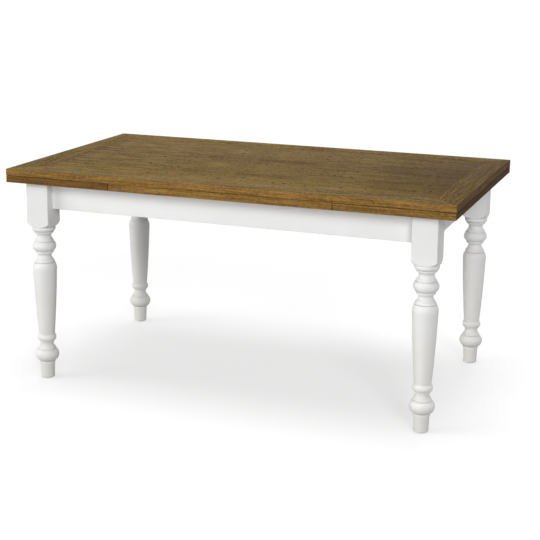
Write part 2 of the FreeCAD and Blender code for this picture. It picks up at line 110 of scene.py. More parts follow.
# In a CAD copy, faces that meet at less than FLAT_ANGLE are one face, and an edge is an arris where its
# faces turn by more than ARRIS_ANGLE and it is longer than SHORT_EDGE.
FLAT_ANGLE = math.radians(1)
ARRIS_ANGLE = math.radians(60)
SHORT_EDGE = 12 * MM

# Nearly all values of a noise lie between these.
NOISE_LOW, NOISE_HIGH = 0.3, 0.7
# The oak's tone goes from dark to light between these values of its noise.
TONE_LOW, TONE_HIGH = 0.38, 0.62
# The stain and the painted shade deepen over this stretch, measured along X with a share of Y.
STAIN_AND_SHADE_FROM, STAIN_AND_SHADE_TO = -300 * MM, 1000 * MM

# Each leaf of veneer lies this much further along than the one that it was cut from.
LEAF_CREEP = 12 * MM
# Pin knots stand KNOT_STEP apart, and finer ones to the right of FINE_FROM, past a change of FINE_BLEND.
KNOT_STEP, FINE_KNOT_STEP = 70 * MM, 40 * MM
FINE_FROM = 100 * MM
FINE_BLEND = 10 * MM
# Half the length of a knot of size 1, and half its width.
KNOT_LENGTH, FINE_KNOT_LENGTH = 5 * MM, 4 * MM
KNOT_WIDTH = 6.5 * MM
# Their row starts KNOT_ROW from the joint, and bows away by KNOT_BOW times X squared.
KNOT_ROW = 20 * MM
KNOT_BOW = 0.13
# A knot strays from the row by up to this.
KNOT_STRAY, FINE_KNOT_STRAY = 70 * MM, 26 * MM

# The floor goes this far from the middle of the table, in metres.
FLOOR_REACH = 60
# Each lamp's spread, its turn to the right of the front and its rise over the floor, in degrees.
LAMPS = {
    "overhead": (37, 15, 90),
    "key": (16, 32, 28),
    "left": (40, -60, 6),
    "right": (40, 24, 6),
    "back": (20, 180, 6),
}


def linear(code):
    """An sRGB hex colour as linear red, green and blue."""
    levels = [int(code[at:at + 2], 16) / 255 for at in (1, 3, 5)]
    return [v / 12.92 if v <= 0.04045 else ((v + 0.055) / 1.055) ** 2.4 for v in levels]


def add(tree, kind, inputs=None, **settings):
    """Adds a node with its settings, fills or links its inputs, and gives it back.

    Inputs that share a name go by number. Map Range has the value, the low and high that it comes from, and
    the low and high that it goes to. Mix has its share at 0, two numbers at 2 and 3, two colours at 6 and 7.
    """
    node = tree.nodes.new("ShaderNode" + kind)
    for name, value in settings.items():
        setattr(node, name, value)
    for key, value in (inputs or {}).items():
        if isinstance(value, bpy.types.Node):
            value = value.outputs[0]
        if isinstance(value, bpy.types.NodeSocket):
            tree.links.new(value, node.inputs[key])
        else:
            node.inputs[key].default_value = value
    return node


def finish(name, make, *details):
    """The material of that name, made the first time that a piece asks for it."""
    found = bpy.data.materials.get(name)
    if found:
        return found
    material = bpy.data.materials.new(name)
    material.use_nodes = True
    material.node_tree.nodes.clear()
    add(material.node_tree, "OutputMaterial", {"Surface": make(material.node_tree, *details)})
    return material


def grain(length, width):
    """The scale of a pattern that is length by width millimetres, long in X."""
    return (1 / (length * MM), 1 / (width * MM), 1 / (width * MM))


def stain_and_shade_depth(tree, axes, least, more, back):
    """How deep the stain and painted shade lie: more towards the right, where the light falls off, and
    towards the back by its own share, where the shade offsets the sheen.
    """
    way = add(tree, "Math", {0: axes.outputs["Y"], 1: back, 2: axes.outputs["X"]}, operation="MULTIPLY_ADD")
    return add(tree, "MapRange", {0: way, 1: STAIN_AND_SHADE_FROM, 2: STAIN_AND_SHADE_TO, 3: least, 4: least + more})


def stained_surface(tree, colour, streak, tone, relief):
    """The surface of stained oak under a dull wax, with its dark grain a little sunk."""
    rough = add(tree, "MapRange", {0: streak, 1: NOISE_LOW, 2: NOISE_HIGH, 3: 0.8, 4: 0.68})
    bump = add(tree, "Bump", {"Height": tone, "Strength": relief, "Distance": 0.3 * MM})
    return add(tree, "BsdfPrincipled", {
        "Base Color": colour.outputs[2],
        "Roughness": rough,
        "Normal": bump,
        "Specular IOR Level": 0.05,
    })


def stained_oak(tree, light, dark, turn, figure, pore, pore_share, stain):
    """Solid oak, planed and wiped with stain: streaks along the board, and open pores that hold the stain."""
    spot = add(tree, "TexCoord").outputs["Object"]
    axes = add(tree, "SeparateXYZ", {0: spot})
    # Darker towards the right and the back: partly stain, and partly painted shade.
    depth = stain_and_shade_depth(tree, axes, *stain)
    spot = add(tree, "Mapping", {"Vector": spot, "Rotation": (0, 0, turn)})
    streak = add(tree, "Mapping", {"Vector": spot, "Scale": grain(*figure)})
    streak = add(tree, "TexNoise", {"Vector": streak, "Scale": 1.0, "Detail": 4.0})
    # Pores are 0.3 mm wide in the wood, and are drawn 3.5 mm wide or more so that they show.
    pores = add(tree, "Mapping", {"Vector": spot, "Scale": grain(*pore)})
    pores = add(tree, "TexNoise", {"Vector": pores, "Scale": 1.0, "Detail": 2.0})
    tone = add(tree, "Mix", {0: pore_share, 2: streak, 3: pores})
    tone = add(tree, "MapRange", {0: tone, 1: TONE_LOW, 2: TONE_HIGH})
    tone = add(tree, "Math", {0: tone, 1: depth}, operation="SUBTRACT", use_clamp=True)
    colour = add(tree, "Mix", {0: tone, 6: (*dark, 1), 7: (*light, 1)}, data_type="RGBA")
    return stained_surface(tree, colour, streak, tone, 0.35)


def pin_knots(tree, axes, along, fold, order):
    """Where the veneer has pin knots, from 0 to 1: in mirrored rows, closer together on the right."""
    finer = add(tree, "Math", {0: along, 1: FINE_FROM}, operation="SUBTRACT")
    finer = add(tree, "Math", {0: finer, 1: 0.0}, operation="MAXIMUM")
    per_length, stray, smallest = (
        add(tree, "MapRange", {0: finer, 1: 0.0, 2: FINE_BLEND, 3: on_left, 4: on_right})
        for on_left, on_right in (
            (KNOT_STEP / KNOT_LENGTH, FINE_KNOT_STEP / FINE_KNOT_LENGTH),
            (KNOT_STRAY, FINE_KNOT_STRAY),
            (0.25, 0.75),
        ))

    # A row is cut into cells, one knot to a cell, and each mirrored pair of leaves has cells of its own.
    step = add(tree, "Math", {0: along, 1: KNOT_STEP}, operation="DIVIDE")
    closer = 1 / FINE_KNOT_STEP - 1 / KNOT_STEP
    step = add(tree, "Math", {0: finer, 1: closer, 2: step}, operation="MULTIPLY_ADD")
    cell = add(tree, "Math", {0: step}, operation="FLOOR")
    pair = add(tree, "Math", {0: order, 1: 0.5, 2: 0.5}, operation="MULTIPLY_ADD")
    pair = add(tree, "Math", {0: pair}, operation="FLOOR")
    cells_apart = 31.0
    cell = add(tree, "Math", {0: pair, 1: cells_apart, 2: cell}, operation="MULTIPLY_ADD")
    chance = add(tree, "TexWhiteNoise", {"W": cell}, noise_dimensions="1D").outputs["Color"]
    chance = add(tree, "SeparateColor", {"Color": chance})

    # Chance moves a knot along its cell, but never into the margin at the cell's ends.
    margin = 0.22
    beside = add(tree, "Math", {0: step}, operation="FRACT")
    beside = add(
        tree, "Math", {0: chance.outputs["Red"], 1: 2 * margin - 1, 2: beside}, operation="MULTIPLY_ADD")
    beside = add(tree, "Math", {0: beside, 1: margin}, operation="SUBTRACT")
    beside = add(tree, "Math", {0: beside, 1: per_length}, operation="MULTIPLY")

    # The row bows away from the joint at both ends.
    row = add(tree, "Math", {0: axes.outputs["X"], 1: axes.outputs["X"]}, operation="MULTIPLY")
    row = add(tree, "Math", {0: row, 1: KNOT_BOW, 2: KNOT_ROW}, operation="MULTIPLY_ADD")
    row = add(tree, "Math", {0: chance.outputs["Green"], 1: stray, 2: row}, operation="MULTIPLY_ADD")
    above = add(tree, "Math", {0: fold, 1: row}, operation="SUBTRACT")
    above = add(tree, "Math", {0: above, 1: 1 / KNOT_WIDTH}, operation="MULTIPLY")

    # A fifth of the knots are the smallest, the others go up to the largest, and each fades out at its rim.
    largest = 1.4
    size = add(tree, "MapRange", {0: chance.outputs["Blue"], 1: 0.2, 2: 1.0, 3: smallest, 4: largest})
    knots = add(tree, "CombineXYZ", {0: beside, 1: above})
    knots = add(tree, "VectorMath", {0: knots}, operation="LENGTH")
    knots = add(tree, "Math", {0: knots.outputs["Value"], 1: size}, operation="DIVIDE")
    return add(tree, "MapRange", {0: knots, 1: 0.6, 2: 1.2, 3: 1.0, 4: 0.0})


def bookmatched_oak(tree, light, dark, knot, leaf):
    """Oak veneer in bookmatched leaves: streaks and pin knots that mirror each other across the joints."""
    axes = add(tree, "SeparateXYZ", {0: add(tree, "TexCoord").outputs["Object"]})
    across = add(tree, "Math", {0: axes.outputs["Y"], 1: FIELD_LOW.y}, operation="SUBTRACT")
    fold = add(tree, "Math", {0: across, 1: leaf}, operation="PINGPONG")
    order = add(tree, "Math", {0: across, 1: leaf}, operation="DIVIDE")
    order = add(tree, "Math", {0: order}, operation="FLOOR")
    along = add(tree, "Math", {0: order, 1: LEAF_CREEP, 2: axes.outputs["X"]}, operation="MULTIPLY_ADD")
    flitch = add(tree, "CombineXYZ", {0: along, 1: fold, 2: axes.outputs["Z"]})

    figure = add(tree, "Mapping", {"Vector": flitch, "Scale": grain(300, 36)})
    figure = add(tree, "TexNoise", {"Vector": figure, "Scale": 1.0, "Detail": 3.0})
    streak = add(tree, "Mapping", {"Vector": flitch, "Scale": grain(90, 13)})
    streak = add(tree, "TexNoise", {"Vector": streak, "Scale": 1.0, "Detail": 4.0})
    # Rays and pores are 1 mm wide in the wood, and are drawn about 10 mm wide so that they show.
    pores = add(tree, "Mapping", {"Vector": flitch, "Scale": grain(8, 12)})
    pores = add(tree, "TexNoise", {"Vector": pores, "Scale": 1.0, "Detail": 2.0})
    streak_share, pore_share = 0.9, 0.42
    tone = add(tree, "Mix", {0: streak_share, 2: figure, 3: streak})
    tone = add(tree, "Mix", {0: pore_share, 2: tone, 3: pores})
    tone = add(tree, "MapRange", {0: tone, 1: TONE_LOW, 2: TONE_HIGH, 3: 0.0, 4: 0.8})
    # The wood is paler beside every other joint.
    pale = add(tree, "MapRange", {0: fold, 1: 15 * MM, 2: 120 * MM, 3: 0.1, 4: 0.0})
    tone = add(tree, "Math", {0: tone, 1: pale}, operation="ADD")
    # The figure is calmer on the right.
    calm_from = -100 * MM
    calm = add(tree, "MapRange", {0: axes.outputs["X"], 1: calm_from, 2: FIELD_HIGH.x, 3: 0.0, 4: 0.4})
    tone = add(tree, "Mix", {0: calm, 2: tone, 3: 0.5})

    # Paler towards the long edges, and darker towards the right, the back and both ends: partly stain, and
    # partly painted shade for the light falling off to the right and to offset the sheen towards the back.
    rim_gain = 1.7
    rim = add(tree, "Math", {0: axes.outputs["Y"], 1: axes.outputs["Y"]}, operation="MULTIPLY")
    tone = add(tree, "Math", {0: rim, 1: rim_gain, 2: tone}, operation="MULTIPLY_ADD")
    depth = stain_and_shade_depth(tree, axes, -0.03, 0.3, 1.5)
    tone = add(tree, "Math", {0: tone, 1: depth}, operation="SUBTRACT")
    right_from, right_to = FIELD_HIGH.x - 260 * MM, FIELD_HIGH.x - 10 * MM
    right = add(tree, "MapRange", {0: axes.outputs["X"], 1: right_from, 2: right_to, 3: 0.0, 4: 0.25})
    left_to = FIELD_LOW.x + 60 * MM
    left = add(tree, "MapRange", {0: axes.outputs["X"], 1: FIELD_LOW.x, 2: left_to, 3: 0.3, 4: 0.0})
    shade = add(tree, "Math", {0: right, 1: left}, operation="MAXIMUM")
    tone = add(tree, "Math", {0: tone, 1: shade}, operation="SUBTRACT", use_clamp=True)

    # Stain gathers in the knots and in the joint with the end bands.
    knots = pin_knots(tree, axes, along, fold, order)
    reach = add(tree, "Math", {0: axes.outputs["X"]}, operation="ABSOLUTE")
    joint = add(tree, "MapRange", {0: reach, 1: FIELD_HIGH.x - 5 * MM, 2: FIELD_HIGH.x, 3: 0.0, 4: 0.35})
    gathered = add(tree, "Math", {0: knots, 1: joint}, operation="MAXIMUM")
    colour = add(tree, "Mix", {0: tone, 6: (*dark, 1), 7: (*light, 1)}, data_type="RGBA")
    colour = add(tree, "Mix", {0: gathered, 6: colour.outputs[2], 7: (*knot, 1)}, data_type="RGBA")
    return stained_surface(tree, colour, streak, tone, 0.3)


def satin_paint(tree, paint, thin_paint, dust_and_shade_paint):
    """White satin paint sprayed on primed wood: a faint orange peel, and greyer towards the floor."""
    spot = add(tree, "TexCoord").outputs["Object"]
    axes = add(tree, "SeparateXYZ", {0: spot})
    coat = add(tree, "Mapping", {"Vector": spot, "Scale": grain(160, 90)})
    coat = add(tree, "TexNoise", {"Vector": coat, "Scale": 1.0, "Detail": 3.0})
    # Orange peel is about 1 mm wide, and is drawn 4 mm wide so that it shows.
    peel = add(tree, "Mapping", {"Vector": spot, "Scale": grain(4, 4)})
    peel = add(tree, "TexNoise", {"Vector": peel, "Scale": 1.0, "Detail": 1.0})
    full = add(tree, "MapRange", {0: coat, 1: NOISE_LOW, 2: NOISE_HIGH})
    colour = add(tree, "Mix", {0: full, 6: (*thin_paint, 1), 7: (*paint, 1)}, data_type="RGBA")
    # Dust and scuffs on the lowest half metre, and painted shade there where the light falls off towards the
    # floor.
    dust_and_shade = add(tree, "MapRange", {0: axes.outputs["Z"], 1: 0.0, 2: 500 * MM, 3: 1.0, 4: 0.0})
    colour = add(tree, "Mix", {0: dust_and_shade, 6: colour.outputs[2], 7: (*dust_and_shade_paint, 1)}, data_type="RGBA")
    rough = add(tree, "MapRange", {0: coat, 1: NOISE_LOW, 2: NOISE_HIGH, 3: 0.5, 4: 0.4})
    bump = add(tree, "Bump", {"Height": peel, "Strength": 0.15, "Distance": 0.1 * MM})
    return add(tree, "BsdfPrincipled", {
        "Base Color": colour.outputs[2],
        "Roughness": rough,
        "Normal": bump,
        "Specular IOR Level": 0.15,
    })


def bare_beech(tree, light, dark):
    """Unfinished steamed beech: pale pink brown, with short dark flecks along the grain."""
    spot = add(tree, "TexCoord").outputs["Object"]
    streak = add(tree, "Mapping", {"Vector": spot, "Scale": grain(180, 8)})
    streak = add(tree, "TexNoise", {"Vector": streak, "Scale": 1.0, "Detail": 3.0})
    fleck = add(tree, "Mapping", {"Vector": spot, "Scale": grain(7, 1.5)})
    fleck = add(tree, "TexNoise", {"Vector": fleck, "Scale": 1.0, "Detail": 1.0})
    # Only the peaks of the noise become flecks.
    fleck = add(tree, "MapRange", {0: fleck, 1: 0.6, 2: 0.75, 3: 0.0, 4: 0.5})
    tone = add(tree, "MapRange", {0: streak, 1: NOISE_LOW, 2: NOISE_HIGH})
    tone = add(tree, "Math", {0: tone, 1: fleck}, operation="SUBTRACT", use_clamp=True)
    colour = add(tree, "Mix", {0: tone, 6: (*dark, 1), 7: (*light, 1)}, data_type="RGBA")
    rough = add(tree, "MapRange", {0: streak, 1: NOISE_LOW, 2: NOISE_HIGH, 3: 0.78, 4: 0.62})
    bump = add(tree, "Bump", {"Height": tone, "Strength": 0.3, "Distance": 0.2 * MM})
    return add(tree, "BsdfPrincipled", {
        "Base Color": colour.outputs[2],
        "Roughness": rough,
        "Normal": bump,
    })


def zinc_plate(tree, bright, dull):
    """Zinc-plated steel: a bluish grey with cloudy passivated patches and fine drawing lines."""
    spot = add(tree, "TexCoord").outputs["Object"]
    cloud = add(tree, "Mapping", {"Vector": spot, "Scale": grain(9, 9)})
    cloud = add(tree, "TexNoise", {"Vector": cloud, "Scale": 1.0, "Detail": 3.0})
    # Drawing lines are under 0.1 mm wide, and are drawn 0.8 mm wide so that they show.
    line = add(tree, "Mapping", {"Vector": spot, "Scale": grain(30, 0.8)})
    line = add(tree, "TexNoise", {"Vector": line, "Scale": 1.0, "Detail": 1.0})
    cloud = add(tree, "MapRange", {0: cloud, 1: NOISE_LOW, 2: NOISE_HIGH})
    colour = add(tree, "Mix", {0: cloud, 6: (*dull, 1), 7: (*bright, 1)}, data_type="RGBA")
    rough = add(tree, "MapRange", {0: cloud, 3: 0.45, 4: 0.28})
    bump = add(tree, "Bump", {"Height": line, "Strength": 0.1, "Distance": 0.05 * MM})
    return add(tree, "BsdfPrincipled", {
        "Base Color": colour.outputs[2],
        "Metallic": 1.0,
        "Roughness": rough,
        "Normal": bump,
    })


def moulded_nylon(tree, clean, worn):
    """Moulded nylon: a milky off-white, with a fine spark-eroded grain and scuffs from the floor."""
    spot = add(tree, "TexCoord").outputs["Object"]
    scuff = add(tree, "Mapping", {"Vector": spot, "Scale": grain(12, 2)})
    scuff = add(tree, "TexNoise", {"Vector": scuff, "Scale": 1.0, "Detail": 3.0})
    # The grit of the mould is under 0.1 mm wide, and is drawn 0.8 mm wide so that it shows.
    spark = add(tree, "Mapping", {"Vector": spot, "Scale": grain(0.8, 0.8)})
    spark = add(tree, "TexNoise", {"Vector": spark, "Scale": 1.0})
    scuff = add(tree, "MapRange", {0: scuff, 1: 0.35, 2: 0.65})
    colour = add(tree, "Mix", {0: scuff, 6: (*worn, 1), 7: (*clean, 1)}, data_type="RGBA")
    rough = add(tree, "MapRange", {0: scuff, 3: 0.62, 4: 0.45})
    bump = add(tree, "Bump", {"Height": spark, "Strength": 0.2, "Distance": 0.05 * MM})
    return add(tree, "BsdfPrincipled", {
        "Base Color": colour.outputs[2],
        "Roughness": rough,
        "Normal": bump,
    })


def seen_share(tree):
    """1 for a ray that the camera sees by, straight, in a mirror or through glass, and 0 for other light."""
    path = add(tree, "LightPath")
    camera, glossy = path.outputs["Is Camera Ray"], path.outputs["Is Glossy Ray"]
    seen = add(tree, "Math", {0: camera, 1: glossy}, operation="MAXIMUM")
    return add(tree, "Math", {0: seen, 1: path.outputs["Is Transmission Ray"]}, operation="MAXIMUM")


def studio_floor(tree, colour, lift):
    """A matt white studio floor: lifted towards white where it is seen, and keeping the table's shadow."""
    seen = seen_share(tree)
    lifted = add(tree, "Math", {0: seen, 1: lift}, operation="MULTIPLY")
    tint = add(tree, "Mix", {0: seen, 6: (*colour, 1), 7: WHITE}, data_type="RGBA")
    matt = add(tree, "BsdfDiffuse", {"Color": tint.outputs[2]})
    white = add(tree, "Emission", {"Color": WHITE, "Strength": 1.0})
    return add(tree, "MixShader", {0: lifted, 1: matt, 2: white})


def colour_property(name, description, code):
    """A colour that a user may change, from its sRGB hex value."""
    return bpy.props.FloatVectorProperty(
        name=name, description=description, default=linear(code), subtype="COLOR", size=3, min=0, max=1)


def length_property(name, description, size):
    """A length that a user may change, in metres."""
    return bpy.props.FloatProperty(
        name=name, description=description, default=size, unit="LENGTH", min=0, precision=4)


def angle_property(name, description, degrees):
    """An angle that a user may change, from its degrees."""
    return bpy.props.FloatProperty(
        name=name, description=description, default=math.radians(degrees), subtype="ANGLE")


def strength_property(name, description, strength):
    """The strength of a light that a user may change."""
    return bpy.props.FloatProperty(name=name, description=description, default=strength, min=0)


class TableTopSettings(bpy.types.PropertyGroup):
    """Sizes and colours of the two wooden layers."""

    arris: length_property("Arris", "Rounding of the top's outer edges", 1.0 * MM)
    seam: length_property("Seam", "Easing of the edges where the two layers meet", 1.6 * MM)
    joint: length_property("Joint", "Easing where two boards of a layer meet", 0.5 * MM)
    leaf_joint: length_property(
        "Leaf joint", "Easing of the upright edges where a leaf meets the middle", 1.1 * MM)
    leaves: bpy.props.IntProperty(
        name="Veneer leaves", description="Bookmatched leaves across the field", default=5, min=1)
    face_light: colour_property("Light streak", "Light streaks on the top's face", "#7E683B")
    face_dark: colour_property("Dark streak", "Dark streaks on the top's face", "#493820")
    knot: colour_property("Knot", "Pin knots and gathered stain", "#241910")
    edge_light: colour_property("Light edge", "Light streaks on the long edges", "#9B773E")
    edge_dark: colour_property("Dark edge", "Dark streaks on the long edges", "#634724")
    leaf_light: colour_property("Light leaf edge", "Light streaks on the left leaf's long edges", "#7E5C2E")
    leaf_dark: colour_property("Dark leaf edge", "Dark streaks on the left leaf's long edges", "#583D1F")
    end_light: colour_property("Light end", "Light streaks on the short edges", "#634D2E")
    end_dark: colour_property("Dark end", "Dark streaks on the short edges", "#3A2913")
    # Dark seam colours: stain gathered in the eased seams and joints, and painted shade in their grooves.
    seam_light: colour_property("Light seam", "Light streaks in the seams", "#3E2C1A")
    seam_dark: colour_property("Dark seam", "Dark streaks in the seams", "#24180E")


class TableBaseSettings(bpy.types.PropertyGroup):
    """Sizes and colours of the painted base and of what it hides."""

    arris: length_property("Arris", "Rounding of the aprons' edges", 1.5 * MM)
    paint: colour_property("Paint", "White satin paint of the aprons", "#F1F1F0")
    paint_thin: colour_property("Thin paint", "The aprons' paint where the coat is thinner", "#EDEDEB")
    leg_paint: colour_property("Leg paint", "White satin paint of the legs", "#E8E8E7")
    leg_thin: colour_property("Thin leg paint", "The legs' paint where the coat is thinner", "#E4E4E2")
    # The paint on the lowest half metre of the legs: dust and scuffs, and painted shade where the light falls
    # off towards the floor.
    paint_dust_and_shade: colour_property("Dust and shade paint", "The paint at the floor", "#DFDDD8")
    beech_light: colour_property("Light beech", "Light streaks of the bare wood", "#D2AC80")
    beech_dark: colour_property("Dark beech", "Dark streaks and flecks of the bare wood", "#A87F57")
    zinc_bright: colour_property("Bright zinc", "Clean zinc plating", "#C9CCCE")
    zinc_dull: colour_property("Dull zinc", "Cloudy zinc plating", "#A2A5A6")
    nylon_clean: colour_property("Nylon", "Clean nylon", "#E4E2DA")
    nylon_worn: colour_property("Worn nylon", "Scuffed nylon", "#BEBBB1")


class TableStageSettings(bpy.types.PropertyGroup):
    """The studio round the table."""

    camera_place: bpy.props.FloatVectorProperty(
        name="Camera", description="Where the camera stands", default=(1.608, -4.230, 1.575),
        subtype="TRANSLATION")
    camera_turn: angle_property("Turn", "How far the camera stands to the right", 21.31)
    camera_dip: angle_property("Dip", "How far the camera looks down", 12.36)
    camera_lean: angle_property("Lean", "How far the camera leans", 0.4)
    lens: bpy.props.FloatProperty(
        name="Lens", description="Focal length on a 36 mm sensor", default=85.0, subtype="DISTANCE_CAMERA")
    shift: bpy.props.FloatVectorProperty(
        name="Shift", description="Lens shift that holds the legs nearly upright", default=(0.03, -0.1),
        size=2)
    floor: colour_property("Floor", "The floor's colour in the light that it gives back", "#8A8A8A")
    lift: bpy.props.FloatProperty(
        name="Lift", description="Share of plain white in the floor as it is seen", default=0.572,
        min=0, max=1, subtype="FACTOR")
    ambient: strength_property("Ambient", "Strength of the light from all round", 0.28)
    overhead: strength_property("Overhead", "Strength of the soft light from above", 1.61)
    key: strength_property("Key", "Strength of the soft light from beside the camera", 0.86)
    left: strength_property("Left", "Strength of the low light from the left", 2.4)
    right: strength_property("Right", "Strength of the low light from the right", 1.27)
    back: strength_property("Back", "Strength of the low light from behind", 1.3)


def outline(low, high):
    """The four corners of a box, seen from above."""
    return [(low.x, low.y), (high.x, low.y), (high.x, high.y), (low.x, high.y)]


def plank(corners, low, high):
    """A board of that outline between two levels."""
    bm = bmesh.new()
    under = bm.faces.new([bm.verts.new((x, y, low)) for x, y in corners])
    made = bmesh.ops.extrude_face_region(bm, geom=[under])["geom"]
    risen = [part for part in made if isinstance(part, bmesh.types.BMVert)]
    bmesh.ops.translate(bm, verts=risen, vec=(0, 0, high - low))
    bmesh.ops.recalc_face_normals(bm, faces=bm.faces)
    return bm


def edges_along(bm, start, end, level):
    """The edges at that level over the line from start to end."""
    start = Vector(start)
    run = (Vector(end) - start).normalized()
    return [
        edge for edge in bm.edges
        if all(abs(v.co.z - level) < NEAR and abs(run.cross(v.co.xy - start)) < NEAR for v in edge.verts)
    ]


def edges_up(bm, corner):
    """The upright edge at that corner."""
    corner = Vector(corner)
    return [edge for edge in bm.edges if all((v.co.xy - corner).length < NEAR for v in edge.verts)]


def ease(bm, edges, radius, finish_index):
    """Rounds those edges and gives the rounding a finish."""
    made = bmesh.ops.bevel(
        bm, geom=edges, offset=radius, affect="EDGES", segments=3, profile=0.5, material=-1,
        clamp_overlap=True)
    for face in made["faces"]:
        face.material_index = finish_index


def place(bm, node, materials):
    """Makes a bmesh the piece that stands for a node and moves with its body."""
    name = node + "_dressed"
    mesh = bpy.data.meshes.new(name)
    bm.to_mesh(mesh)
    bm.free()
    for material in materials:
        mesh.materials.append(material)
    mesh.polygons.foreach_set("use_smooth", [True] * len(mesh.polygons))
    mesh.set_sharp_from_angle(angle=ROUND_ANGLE)
    piece = bpy.data.objects.new(name, mesh)
    bpy.context.scene.collection.objects.link(piece)
    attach(piece, body_of(NODES[node])[0])
    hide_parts(node)
    return piece


def wooden_board(node, corners, outer, settings, materials, uprights=()):
    """A board of the top: rounded on its outer sides, eased and dark where it meets another board."""
    low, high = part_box(node)
    upper = high.z > CAD_HIGH.z - NEAR
    # The arris of the upper end bands only is dark, in the seam colours.
    arris = SEAM if upper and "band" in node else EDGE
    bm = plank(corners, low.z, high.z)
    for face in bm.faces:
        face.material_index = FACE if abs(face.normal.z) > 0.5 else EDGE
    for at in uprights:
        ease(bm, edges_up(bm, corners[at]), settings.leaf_joint, SEAM)
    for at, start in enumerate(corners):
        end = corners[(at + 1) % len(corners)]
        if at in outer:
            ease(bm, edges_along(bm, start, end, high.z if upper else low.z), settings.arris, arris)
            ease(bm, edges_along(bm, start, end, low.z if upper else high.z), settings.seam, SEAM)
        else:
            ease(bm, edges_along(bm, start, end, high.z), settings.joint, SEAM)
    return place(bm, node, materials)


def eased_copy(node, radius, material):
    """A copy of a CAD node with its long outer edges rounded."""
    bm = bmesh.new()
    bm.from_mesh(NODES[node].data)
    bmesh.ops.remove_doubles(bm, verts=bm.verts, dist=NEAR)
    bmesh.ops.dissolve_limit(bm, angle_limit=FLAT_ANGLE, verts=bm.verts, edges=bm.edges)
    long_edges = [
        edge for edge in bm.edges
        if edge.is_convex and edge.calc_length() > SHORT_EDGE and edge.calc_face_angle() > ARRIS_ANGLE
    ]
    ease(bm, long_edges, radius, FACE)
    return place(bm, node, [material])


def dress(node, material):
    """Gives a CAD node whose shape is right its material."""
    for material_slot in NODES[node].material_slots:
        material_slot.material = material


def top_finishes(settings):
    """The finishes of each kind of board in the top: its face, its edge and its seam."""
    face = (settings.face_light, settings.face_dark)
    edge = (settings.edge_light, settings.edge_dark)
    left_edge = (settings.leaf_light, settings.leaf_dark)
    end = (settings.end_light, settings.end_dark)
    # The seam finish is dark: stain gathered in the seams and joints, and painted shade in their grooves.
    seam = (settings.seam_light, settings.seam_dark)
    # Streaks and pores on the narrow sides, length by width in millimetres.
    narrow = ((150, 5), (8, 3.5))
    # The least depth of the stain and painted shade, how much more it gets, and the back's share in that.
    even = (0.0, 0.0, 0.0)
    oak = {
        name: finish("stained_oak_" + name, stained_oak, *colours, turn, figure, pore, pore_share, stain)
        for name, colours, turn, figure, pore, pore_share, stain in (
            ("long", face, 0.0, (200, 13), (10, 11), 0.5, (-0.16, 0.3, 0.2)),
            ("cross", face, ACROSS, (150, 9), (12, 4), 0.6, (0.0, 0.5, 1.2)),
            ("edge", edge, 0.0, *narrow, 0.4, even),
            ("right_edge", edge, 0.0, *narrow, 0.4, (0.15, 0.0, 0.0)),
            ("leaf_edge", left_edge, 0.0, *narrow, 0.4, even),
            ("end", end, ACROSS, *narrow, 0.4, (-0.18, 0.0, 0.0)),
            ("leaf_end", end, ACROSS, *narrow, 0.4, (0.5, 0.0, 0.0)),
            ("seam", seam, 0.0, *narrow, 0.3, even),
        )
    }
    leaf_width = (FIELD_HIGH.y - FIELD_LOW.y) / settings.leaves
    field = finish("bookmatched_stained_oak", bookmatched_oak, *face, settings.knot, leaf_width)
    return {
        "field": (field, oak["edge"], oak["seam"]),
        "long": (oak["long"], oak["edge"], oak["seam"]),
        "left": (oak["long"], oak["leaf_edge"], oak["seam"]),
        "right": (oak["long"], oak["right_edge"], oak["seam"]),
        "cross": (oak["cross"], oak["end"], oak["seam"]),
        "leaf_cross": (oak["cross"], oak["leaf_end"], oak["seam"]),
    }


def apron_finish(settings):
    """The white paint of the aprons."""
    return finish("satin_white_paint", satin_paint, settings.paint, settings.paint_thin, settings.paint_dust_and_shade)


def leg_finish(settings):
    """The white paint of the legs, a little greyer than that of the aprons."""
    return finish(
        "satin_white_leg_paint", satin_paint, settings.leg_paint, settings.leg_thin, settings.paint_dust_and_shade)


def beech_finish(settings):
    """The bare wood under the top."""
    return finish("bare_beech", bare_beech, settings.beech_light, settings.beech_dark)


def zinc_finish(settings):
    """The plating of the metal parts."""
    return finish("zinc_plated_steel", zinc_plate, settings.zinc_bright, settings.zinc_dull)


def nylon_finish(settings):
    """The nylon of the glides and the shoes."""
    return finish("moulded_nylon", moulded_nylon, settings.nylon_clean, settings.nylon_worn)


class TABLE_OT_upper_board(bpy.types.Operator):
    """Make the upper board: a bookmatched field in a mitred border."""

    bl_idname = "table.upper_board"
    bl_label = "Upper board"

    def execute(self, context):
        settings = context.scene.table_top
        finishes = top_finishes(settings)
        field = outline(FIELD_LOW, FIELD_HIGH)
        wooden_board("top_field", field, (), settings, finishes["field"])
        border = outline(CAD_LOW, CAD_HIGH)
        for at, node in enumerate(("top_rail_front", "top_band_right", "top_rail_back", "top_band_left")):
            after = (at + 1) % len(border)
            board = [border[at], border[after], field[after], field[at]]
            kind = "long" if "rail" in node else "cross"
            wooden_board(node, board, (0,), settings, finishes[kind])
        return {"FINISHED"}


